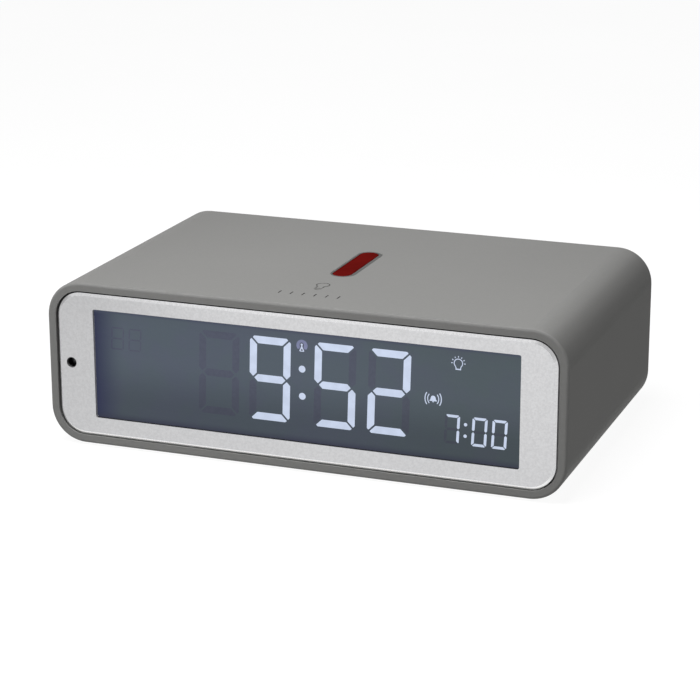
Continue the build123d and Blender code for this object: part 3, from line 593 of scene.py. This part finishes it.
class Film:
    """Closed flat solids between two Y depths (metres), gathered into one object."""

    def __init__(self, front, back):
        self.mesh = bmesh.new()
        self.front = front
        self.back = back

    def loop(self, outline, depth):
        return [self.mesh.verts.new((x * MM, depth, z * MM)) for x, z in outline]

    def add(self, outline, back=None):
        """Prism of an outline."""
        outline = counter_clockwise(outline)
        front_loop = self.loop(outline, self.front)
        back_loop = self.loop(outline, self.back if back is None else back)
        self.mesh.faces.new(front_loop)
        self.mesh.faces.new(back_loop[::-1])
        for i in range(len(outline)):
            j = (i + 1) % len(outline)
            self.mesh.faces.new((front_loop[j], front_loop[i], back_loop[i], back_loop[j]))

    def add_ring(self, outer, inner):
        """Ring between two outlines with the same number of points."""
        loops = [self.loop(outer, self.front), self.loop(inner, self.front),
                 self.loop(inner, self.back), self.loop(outer, self.back)]
        for this, following in zip(loops, loops[1:] + loops[:1]):
            for i in range(len(outer)):
                j = (i + 1) % len(outer)
                self.mesh.faces.new((this[i], this[j], following[j], following[i]))

    def add_bars(self, x, z, rows):
        """Bars given from a centre; rows are (x0, z0, x1, z1, width)."""
        for x0, z0, x1, z1, width in rows:
            self.add(bar(x + x0, z + z0, x + x1, z + z1, width))

    def place(self, name, material, slot_name, body="case"):
        bmesh.ops.recalc_face_normals(self.mesh, faces=self.mesh.faces)
        data = bpy.data.meshes.new(name)
        self.mesh.to_mesh(data)
        self.mesh.free()
        film_object = bpy.data.objects.new(name, data)
        scene.collection.objects.link(film_object)
        data.materials.append(material)
        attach(film_object, body)


# ---------------------------------------------------------------------------
# Display: digits and symbols between the polariser and the window
# ---------------------------------------------------------------------------
FILM_BACK = DISPLAY_Y - 0.006 * MM
FILM_FRONT = FILM_BACK - 0.028 * MM

# Seven-segment digits; slant is the shift in X per unit of height
BIG = dict(width=12.40, height=24.25, stroke=2.57, corner=1.37, slant=0.028, gap=0.50,
           radius=0.16)
SMALL = dict(width=4.37, height=8.28, stroke=0.93, corner=0.57, slant=0.048, gap=0.20,
             radius=0.07)
CALENDAR = dict(width=4.1, height=6.7, stroke=0.62, corner=0.38, slant=0.05, gap=0.2,
                radius=0.06)
BIG_BASE, SMALL_BASE, CALENDAR_BASE = 13.25, 13.09, 28.7

# (label, numeral, left side)
TIME_DIGITS = [("hour", "9", -15.45), ("minute_tens", "5", 3.40), ("minute_units", "2", 18.80)]
ALARM_DIGITS = [("alarm_hour", "7", 40.66), ("alarm_tens", "0", 48.27),
                ("alarm_units", "0", 53.78)]
HOUR_TENS_LEFT = -30.45
CALENDAR_LEFTS = (-56.6, -51.3)

ALL_SEGMENTS = "abcdefg"
NUMERALS = {"0": "abcdef", "1": "bc", "2": "abged", "3": "abgcd", "4": "fgbc", "5": "afgcd",
            "6": "afgedc", "7": "abc", "8": "abcdefg", "9": "abcdfg"}

# (x, z, radius, steps)
COLON_DOTS = [(0.52, 29.22, 0.97, 40), (0.52, 21.52, 0.97, 40),
              (46.82, 18.92, 0.47, 28), (46.74, 15.72, 0.47, 28)]

# Centres of the symbols
MAST_X, MAST_Z = 0.48, 35.85
LAMP_X, LAMP_Z = 44.62, 35.65
BELL_X, BELL_Z = 37.76, 25.05

# Bars of the radio mast: post, two legs, two crosspieces
MAST_BARS = [(0.0, 0.1, 0.0, -0.65, 0.36),
             (-0.06, -0.45, -0.58, -1.62, 0.32), (0.06, -0.45, 0.58, -1.62, 0.32),
             (-0.30, -0.80, 0.30, -0.80, 0.24), (-0.55, -1.60, 0.55, -1.60, 0.22)]
LAMP_LINE = 0.23
# Bars of the lamp: two sides of the neck, then the base
LAMP_BARS = [(-0.80, -0.82, -0.58, -1.50, LAMP_LINE), (0.80, -0.82, 0.58, -1.50, LAMP_LINE),
             (-0.76, -1.66, 0.76, -1.66, 0.33)]
DISPLAY_BELL = [(-1.03, -0.60), (-1.03, -0.42), (-0.78, -0.18), (-0.70, 0.30), (-0.50, 0.70),
                (-0.17, 0.90), (0.17, 0.90), (0.50, 0.70), (0.70, 0.30), (0.78, -0.18),
                (1.03, -0.42), (1.03, -0.60)]


def display_film(sunk_mm=0.0):
    """sunk_mm sets the front face back; negative brings it forward."""
    return Film(FILM_FRONT + sunk_mm * MM, FILM_BACK)


def place_on_display(film, name, material):
    film.place(name, material, "display_dark")


def segment_outlines(width, height, stroke, corner):
    """Seven unslanted segments, keyed a to g."""
    middle, half, tip = height / 2, stroke / 2, corner / 2
    right, top = width - stroke, height - stroke
    outlines = {
        "a": [(corner, height), (width - corner, height), (width - tip, height - tip),
              (right, top), (stroke, top), (tip, height - tip)],
        "d": [(corner, 0), (width - corner, 0), (width - tip, tip),
              (right, stroke), (stroke, stroke), (tip, tip)],
        "f": [(0, height - corner), (tip, height - tip), (stroke, top),
              (stroke, middle + half), (half, middle), (0, middle + half)],
        "e": [(0, corner), (tip, tip), (stroke, stroke),
              (stroke, middle - half), (half, middle), (0, middle - half)],
        "g": [(half, middle), (stroke, middle + half), (right, middle + half),
              (width - half, middle), (right, middle - half), (stroke, middle - half)],
    }
    for mirrored, source in (("b", "f"), ("c", "e")):
        outlines[mirrored] = [(width - x, z) for x, z in outlines[source]]
    return outlines


def add_digit(film, keys, left, base, width, height, stroke, corner, slant, gap, radius):
    outlines = segment_outlines(width, height, stroke, corner)
    for key in keys:
        outline = soften(inset(outlines[key], gap / 2), radius)
        film.add([(left + x + slant * z, base + z) for x, z in outline])


def place_digit(name, keys, left, base, style, material):
    film = display_film()
    add_digit(film, keys, left, base, **style)
    place_on_display(film, name, material)


def place_numbers(digits, base, style):
    """Each digit is a lit object and an object of its unlit segments."""
    for label, numeral, left in digits:
        lit = NUMERALS[numeral]
        unlit = [key for key in ALL_SEGMENTS if key not in lit]
        place_digit(f"digit_{label}", lit, left, base, style, LIT)
        place_digit(f"unlit_{label}", unlit, left, base, style, UNLIT)


def colons():
    film = display_film()
    for dot in COLON_DOTS:
        film.add(circle(*dot))
    place_on_display(film, "display_colons", LIT)


def radio_symbol():
    """Mast on a cut disc, with an unlit outline between them; each stands a little prouder."""
    disc = display_film(sunk_mm=0.014)
    disc.add(arc(MAST_X + 0.06, MAST_Z, 1.62, start=-38, end=218, steps=48))
    place_on_display(disc, "radio_disc", VIOLET_DISC)

    gap = display_film(sunk_mm=0.007)
    head = arc(0.0, 0.25, 0.60, start=15, end=165, steps=10)
    foot = [(-0.62, 0.10), (-0.50, -0.50), (-0.95, -1.35), (0.95, -1.35), (0.50, -0.50)]
    gap.add(moved([(0.66, 0.25)] + head + foot, MAST_X, MAST_Z))
    place_on_display(gap, "radio_mast_gap", UNLIT)

    mast = display_film(sunk_mm=-0.004)
    mast.add(circle(MAST_X, MAST_Z + 0.25, 0.31, steps=24))
    mast.add_bars(MAST_X, MAST_Z, MAST_BARS)
    place_on_display(mast, "radio_mast", LIT_FINE)


def lamp_symbol():
    film = display_film()
    film.add(arc_band(LAMP_X, LAMP_Z, 1.17, LAMP_LINE, start=-48, end=228, steps=32))
    film.add_bars(LAMP_X, LAMP_Z, LAMP_BARS)
    ray_start, ray_end = 1.58, 1.98
    for degrees in (90, 60, 120, 30, 150, 0, 180):
        x, z = math.cos(math.radians(degrees)), math.sin(math.radians(degrees))
        film.add_bars(LAMP_X, LAMP_Z, [(x * ray_start, z * ray_start,
                                        x * ray_end, z * ray_end, LAMP_LINE)])
    place_on_display(film, "lamp_symbol", LIT_FINE)


def bell_symbol():
    """Bell with two sound waves on each side."""
    film = display_film()
    film.add(moved(DISPLAY_BELL, BELL_X, BELL_Z))
    film.add(arc(BELL_X, BELL_Z - 0.68, 0.25, start=180, end=360, steps=14))
    # (centre offset, radius, width, half angle)
    waves = [(0.43, 1.98, 0.24, 40), (0.74, 3.02, 0.27, 33.5)]
    for side, facing in ((1, 0), (-1, 180)):
        for offset, radius, width, half in waves:
            film.add(arc_band(BELL_X - side * offset, BELL_Z + 0.02, radius, width,
                              start=facing - half, end=facing + half))
    place_on_display(film, "bell_symbol", LIT)


def unlit_calendar():
    film = display_film()
    for left in CALENDAR_LEFTS:
        add_digit(film, ALL_SEGMENTS, left, CALENDAR_BASE, **CALENDAR)
    place_on_display(film, "unlit_calendar", UNLIT)


place_numbers(TIME_DIGITS, BIG_BASE, BIG)
place_digit("unlit_hour_tens", ALL_SEGMENTS, HOUR_TENS_LEFT, BIG_BASE, BIG, UNLIT)
place_numbers(ALARM_DIGITS, SMALL_BASE, SMALL)
colons()
radio_symbol()
lamp_symbol()
bell_symbol()
unlit_calendar()


# ---------------------------------------------------------------------------
# Printed pictograms on the back: thin ink films on the cover and the door
# ---------------------------------------------------------------------------
def pad_print_ink():
    """Light grey, slightly uneven print."""
    mat = Mat("pad_print_ink")
    fine = mat.noise(scale=2600.0, detail=3.0, rough=0.6)
    patches = mat.noise(scale=500.0)
    tone = mat.mul(mat.spread(fine, to=(0.90, 1.06)), mat.spread(patches, to=(0.95, 1.04)))
    return mat.surface(color=mat.shade((0.50, 0.50, 0.49), tone),
                       roughness=mat.spread(fine, to=(0.42, 0.55)), specular=0.3,
                       normal=mat.bump(fine, strength=0.25, depth_mm=0.01))


INK = pad_print_ink()
COVER_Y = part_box("rear_cover")[1].y
INK_TOP = COVER_Y + 0.03 * MM
SLASH_TOP = INK_TOP + 0.006 * MM

PRINTED_BELL = [(-0.95, -0.62), (-0.95, -0.42), (-0.66, -0.16), (-0.56, 0.35), (-0.36, 0.78),
                (-0.12, 0.92), (-0.12, 1.06), (0.12, 1.06), (0.12, 0.92), (0.36, 0.78),
                (0.56, 0.35), (0.66, -0.16), (0.95, -0.42), (0.95, -0.62)]
UP_ARROW = [(-1.2, -0.85), (1.2, -0.85), (0.0, 1.15)]
DOWN_ARROW = [(-1.2, 0.95), (0.0, -1.05), (1.2, 0.95)]
DOOR_ARROW = [(-1.3, 0.75), (0.0, -0.95), (1.3, 0.75)]
CLOCK_HANDS = [(0.0, -0.1, 0.0, 0.92, 0.24), (0.12, 0.0, -0.70, 0.0, 0.24)]
RADIO_LEGS = [(-0.08, 0.62, -0.75, -1.25, 0.24), (0.08, 0.62, 0.75, -1.25, 0.24)]
# Two leads, the sign at +X, then the sign at -X with its upright in two halves
SOCKET_BARS = [(0.30, 0.0, 2.1, 0.0, 0.2), (-0.95, 0.0, -2.1, 0.0, 0.2),
               (2.5, 0.0, 3.9, 0.0, 0.22), (-3.9, 0.0, -2.5, 0.0, 0.22),
               (-3.2, -0.7, -3.2, -0.12, 0.22), (-3.2, 0.12, -3.2, 0.7, 0.22)]


def printed_bell(film, x, z, scale=1.35):
    film.add(moved(PRINTED_BELL, x, z, scale))
    film.add(arc_band(x, z - 0.76 * scale, 0.16 * scale, 0.22 * scale,
                      start=180, end=360, steps=8))


def clock_mark(film, x, z):
    film.add_ring(circle(x, z, 1.45, steps=40), circle(x, z, 1.17, steps=40))
    film.add_bars(x, z, CLOCK_HANDS)


def up_mark(film, x, z):
    film.add(soften(moved(UP_ARROW, x, z), 0.18))


def down_mark(film, x, z):
    film.add(soften(moved(DOWN_ARROW, x, z), 0.18))


def door_mark(film, x, z):
    film.add(soften(moved(DOOR_ARROW, x, z), 0.15))


def radio_mark(film, x, z):
    """Mast with two waves on each side of its head."""
    head_z = z + 0.75
    film.add(circle(x, head_z, 0.30, steps=24))
    film.add_bars(x, z, RADIO_LEGS)
    for facing in (0, 180):
        for radius in (0.80, 1.35):
            film.add(arc_band(x, head_z, radius, 0.20, start=facing - 42, end=facing + 42))


def slider_marks(film, x, z):
    """Two bells, the first struck through."""
    printed_bell(film, x - 0.15, z, scale=0.9)
    film.add(bar(x - 1.1, z - 0.9, x + 0.9, z + 1.0, 0.2), back=SLASH_TOP)
    printed_bell(film, x + 4.0 - 0.15, z, scale=0.9)


def socket_marks(film, x, z):
    """Socket polarity: a dot in an open ring, with a sign on each side."""
    film.add(circle(x, z, 0.38, steps=24))
    film.add(arc_band(x, z, 0.95, 0.22, start=40, end=320, steps=20))
    film.add_bars(x, z, SOCKET_BARS)


def place_print(name, draw, x, z, body="case"):
    film = Film(COVER_Y, INK_TOP)
    draw(film, x, z)
    film.place(name, INK, "white_film", body)


# (object, control it belongs to, height above the control's centre, drawing)
PRINTS = [
    ("time_set_mark", "time_set_button", 6.3, clock_mark),
    ("alarm_set_mark", "alarm_set_button", 6.2, printed_bell),
    ("up_mark", "up_button", 6.2, up_mark),
    ("down_mark", "down_button", 6.2, down_mark),
    ("radio_search_mark", "radio_search_button", 6.0, radio_mark),
    ("slider_marks", "alarm_slider", 4.6, slider_marks),
    ("socket_polarity_mark", "power_socket", 6.6, socket_marks),
]
for name, control, rise, draw in PRINTS:
    low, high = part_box(control)
    place_print(name, draw, (low.x + high.x) / 2 / MM, (low.z + high.z) / 2 / MM + rise)

DOOR_ARROW_DROP = 3.4  # below the top of the door
low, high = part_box("battery_door")
place_print("door_arrow", door_mark, (low.x + high.x) / 2 / MM, high.z / MM - DOOR_ARROW_DROP,
            body="battery_lid")

# ---------------------------------------------------------------------------
# Stage: floor, light, camera
# ---------------------------------------------------------------------------
FLOOR_HALF = 9.0
FLOOR_GLOW = 0.50        # what the lit table sends to the object
FLOOR_SHINE = 0.84       # and to its polished faces
FLOOR_SEEN = 0.935       # and what it shows to the camera before the soft shadow

WORLD_LEVEL = 0.40       # light from the left and front
WORLD_RIGHT = 0.02       # share of it left on the right
WORLD_BACK = 0.45        # share of it left at the back
WORLD_SHINE = 0.62       # what glossy reflections see
WORLD_SEEN = 0.985       # what the camera sees


def floor_paint():
    mat = Mat("floor_paint")
    broad = mat.noise(scale=6.0, detail=3.0)
    fine = mat.noise(scale=900.0)
    rays = mat.node("LightPath").outputs
    seen = rays["Is Camera Ray"]
    glow = mat.mix(rays["Is Glossy Ray"], grey(FLOOR_GLOW), grey(FLOOR_SHINE))
    glow = mat.mix(seen, glow, grey(FLOOR_SEEN))
    return mat.surface(color=mat.mix(seen, grey(0.04), grey(0.13)),
                       roughness=mat.spread(fine, to=(0.85, 0.95)), specular=0.0,
                       glow=mat.shade(glow, mat.spread(broad, to=(0.997, 1.003))),
                       glow_strength=1.0)


def floor():
    mesh = bmesh.new()
    mesh.faces.new([mesh.verts.new((x * FLOOR_HALF, y * FLOOR_HALF, 0))
                    for x, y in ((-1, -1), (1, -1), (1, 1), (-1, 1))])
    data = bpy.data.meshes.new("floor")
    mesh.to_mesh(data)
    mesh.free()
    floor_object = bpy.data.objects.new("floor", data)
    scene.collection.objects.link(floor_object)
    data.materials.append(floor_paint())


def world():
    """White surroundings, with separate levels for lighting, reflections and the camera."""
    scene.world = bpy.data.worlds.new("studio")
    nodes = Nodes(scene.world, "OutputWorld")
    x, y, _ = nodes.split("Generated")
    strength = nodes.mul(nodes.ramp(x, over=(-0.55, 0.25), to=(1.0, WORLD_RIGHT)),
                         nodes.ramp(y, over=(-0.3, 0.8), to=(1.0, WORLD_BACK)), WORLD_LEVEL)
    lighting, seen, reflected = [
        nodes.out("Background", {"Color": grey(1.0), "Strength": level})
        for level in (strength, WORLD_SEEN, WORLD_SHINE)]
    rays = nodes.node("LightPath").outputs
    unseen = nodes.mix_shader(rays["Is Glossy Ray"], lighting, reflected)
    nodes.show(nodes.mix_shader(rays["Is Camera Ray"], unseen, seen))


def area_light(name, location, target, size, power):
    data = bpy.data.lights.new(name, "AREA")
    data.shape = "RECTANGLE"
    data.size, data.size_y = size
    data.energy = power
    light = bpy.data.objects.new(name, data)
    scene.collection.objects.link(light)
    light.location = location
    light.rotation_mode = "QUATERNION"
    light.rotation_quaternion = (Vector(target) - Vector(location)).to_track_quat("-Z", "Y")


def camera():
    data = bpy.data.cameras.new("camera")
    camera_object = bpy.data.objects.new("camera", data)
    scene.collection.objects.link(camera_object)
    data.sensor_width = 36.0
    data.lens = 119.389371
    data.clip_start = 0.02
    data.clip_end = 60.0
    right = Vector((0.936083, 0.351777, -0.001478)).normalized()
    back = Vector((0.336664, -0.894633, 0.293751)).normalized()
    # square the right axis to the viewing axis
    right = (right - back * right.dot(back)).normalized()
    up = back.cross(right).normalized()
    rotation = Matrix((right, up, back)).transposed().to_4x4()
    location = Vector((0.222327, -0.596258, 0.217576))
    camera_object.matrix_world = Matrix.Translation(location) @ rotation
    scene.camera = camera_object


floor()
world()
area_light("key_softbox", location=(-0.05, -0.19, 0.53), target=(-0.01, -0.02, 0.04),
           size=(0.34, 0.34), power=3.1)
area_light("front_fill", location=(-0.9, -1.6, 0.60), target=(0, 0, 0.02),
           size=(1.6, 1.0), power=2.2)
camera()

scene.view_settings.view_transform = "Standard"
scene.view_settings.look = "None"
scene.view_settings.exposure = 0.0
scene.view_settings.gamma = 1.0
